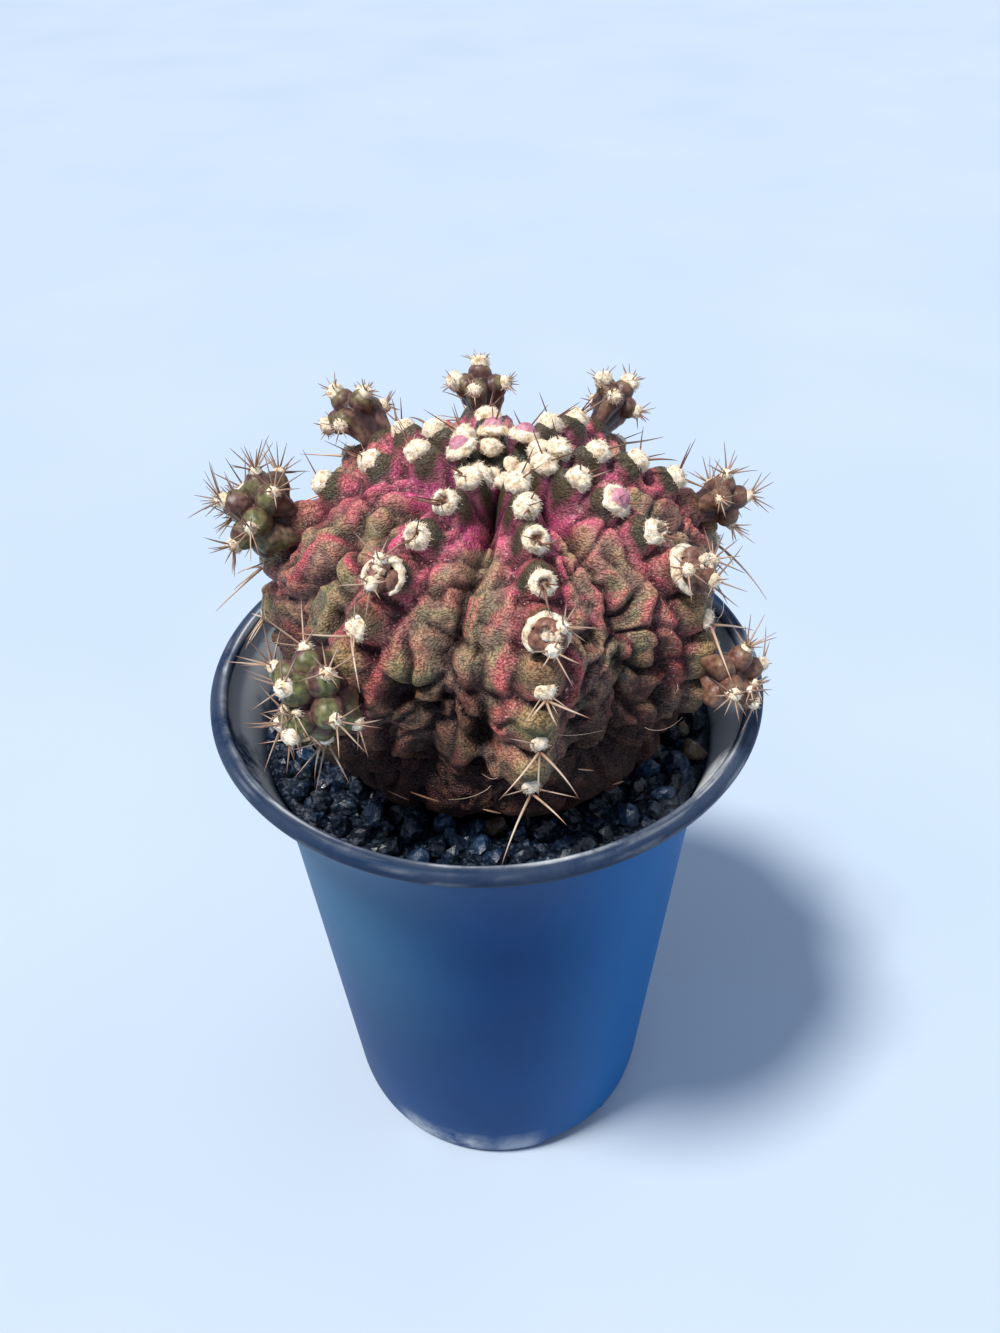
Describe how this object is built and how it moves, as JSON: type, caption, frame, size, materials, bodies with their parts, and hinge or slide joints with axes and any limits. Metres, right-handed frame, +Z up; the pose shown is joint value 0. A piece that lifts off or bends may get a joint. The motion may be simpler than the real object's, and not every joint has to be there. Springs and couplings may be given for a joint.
{
  "type": "potted cactus",
  "caption": "Flattened globular chin cactus with knobbly ribs, woolly areoles, spines and offsets, in a tall tapered nursery pot topped with black gravel.",
  "frame": {"origin": "centre of the pot's foot, on the surface it stands on", "axes": "+Z up along the pot's axis, -Y towards the plant's front, +X to its right seen from the front"},
  "size_m": [0.088, 0.088, 0.1489],
  "materials": {
    "pot_plastic": "satin moulded plastic, dark blue, scuffed and limed at the lip",
    "potting_mix": "damp bark and grit mix, matt",
    "gravel": "crushed black stone, semi-gloss edges",
    "cactus_skin": "velvety wrinkled flesh, magenta crests, brown-olive lobes",
    "offset_skin": "waxy flesh, green with purple-brown flanks"
  },
  "bodies": {
    "root": {"pot": "pot_plastic", "potting_mix": "potting_mix", "gravel_dressing": "gravel", "cactus_body": "cactus_skin", "offset_front_left": "offset_skin", "offset_left": "offset_skin", "offset_right": "offset_skin", "offset_right_low": "offset_skin", "offset_back_left": "offset_skin", "offset_back": "offset_skin", "offset_back_right": "offset_skin", "bud_right": "offset_skin", "bud_left": "offset_skin", "bud_front": "offset_skin"}
  },
  "joints": []
}
